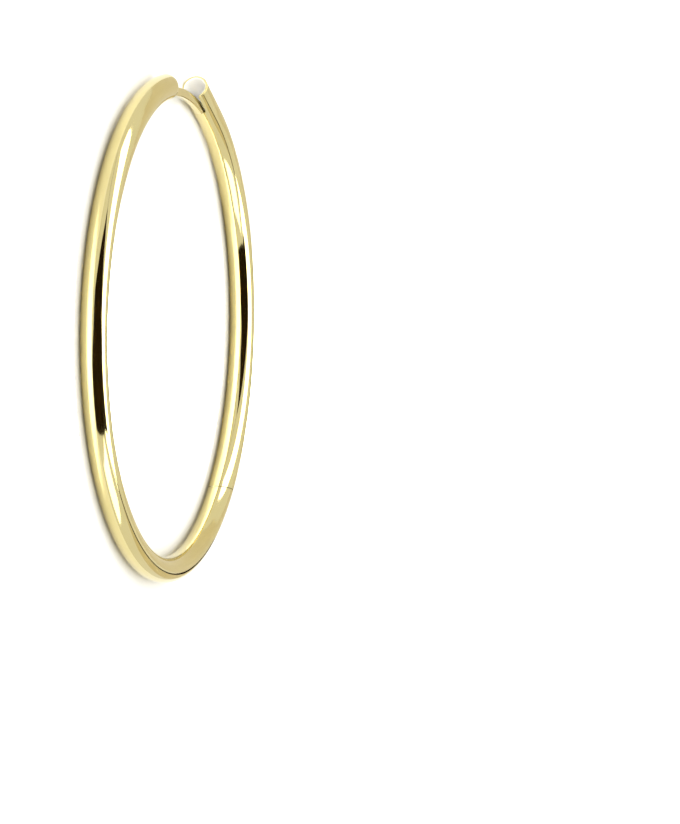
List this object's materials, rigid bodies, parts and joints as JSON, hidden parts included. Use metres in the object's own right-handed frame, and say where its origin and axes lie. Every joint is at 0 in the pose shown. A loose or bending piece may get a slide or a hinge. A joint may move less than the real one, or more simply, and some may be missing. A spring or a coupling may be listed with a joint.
{
  "type": "hinged hoop earring",
  "caption": "Large round hoop earring of hollow polished tube, with a hinged back arc that closes over a curved ear post.",
  "frame": {"origin": "centre of the hoop's circle, at the level of the surface that the hoop lies on", "axes": "+Z square to the hoop's plane, away from the surface that it lies on; +Y through the earlobe gap; the hinge is low on the +X side"},
  "size_m": [0.0581, 0.0582, 0.003],
  "materials": {
    "polished_gold": "mirror-polished pale yellow gold plating",
    "pin_metal": "polished hard wire"
  },
  "bodies": {
    "front": {"front_arc": "polished_gold", "hinge_pin": "pin_metal"},
    "back": {"back_arc": "polished_gold"}
  },
  "joints": [
    {"name": "hinge", "type": "hinge", "parent": "front", "child": "back", "pos_m": [0.02092, -0.01921, 0.0015], "axis": [0, 0, -1], "range_deg": [0, 45]}
  ]
}
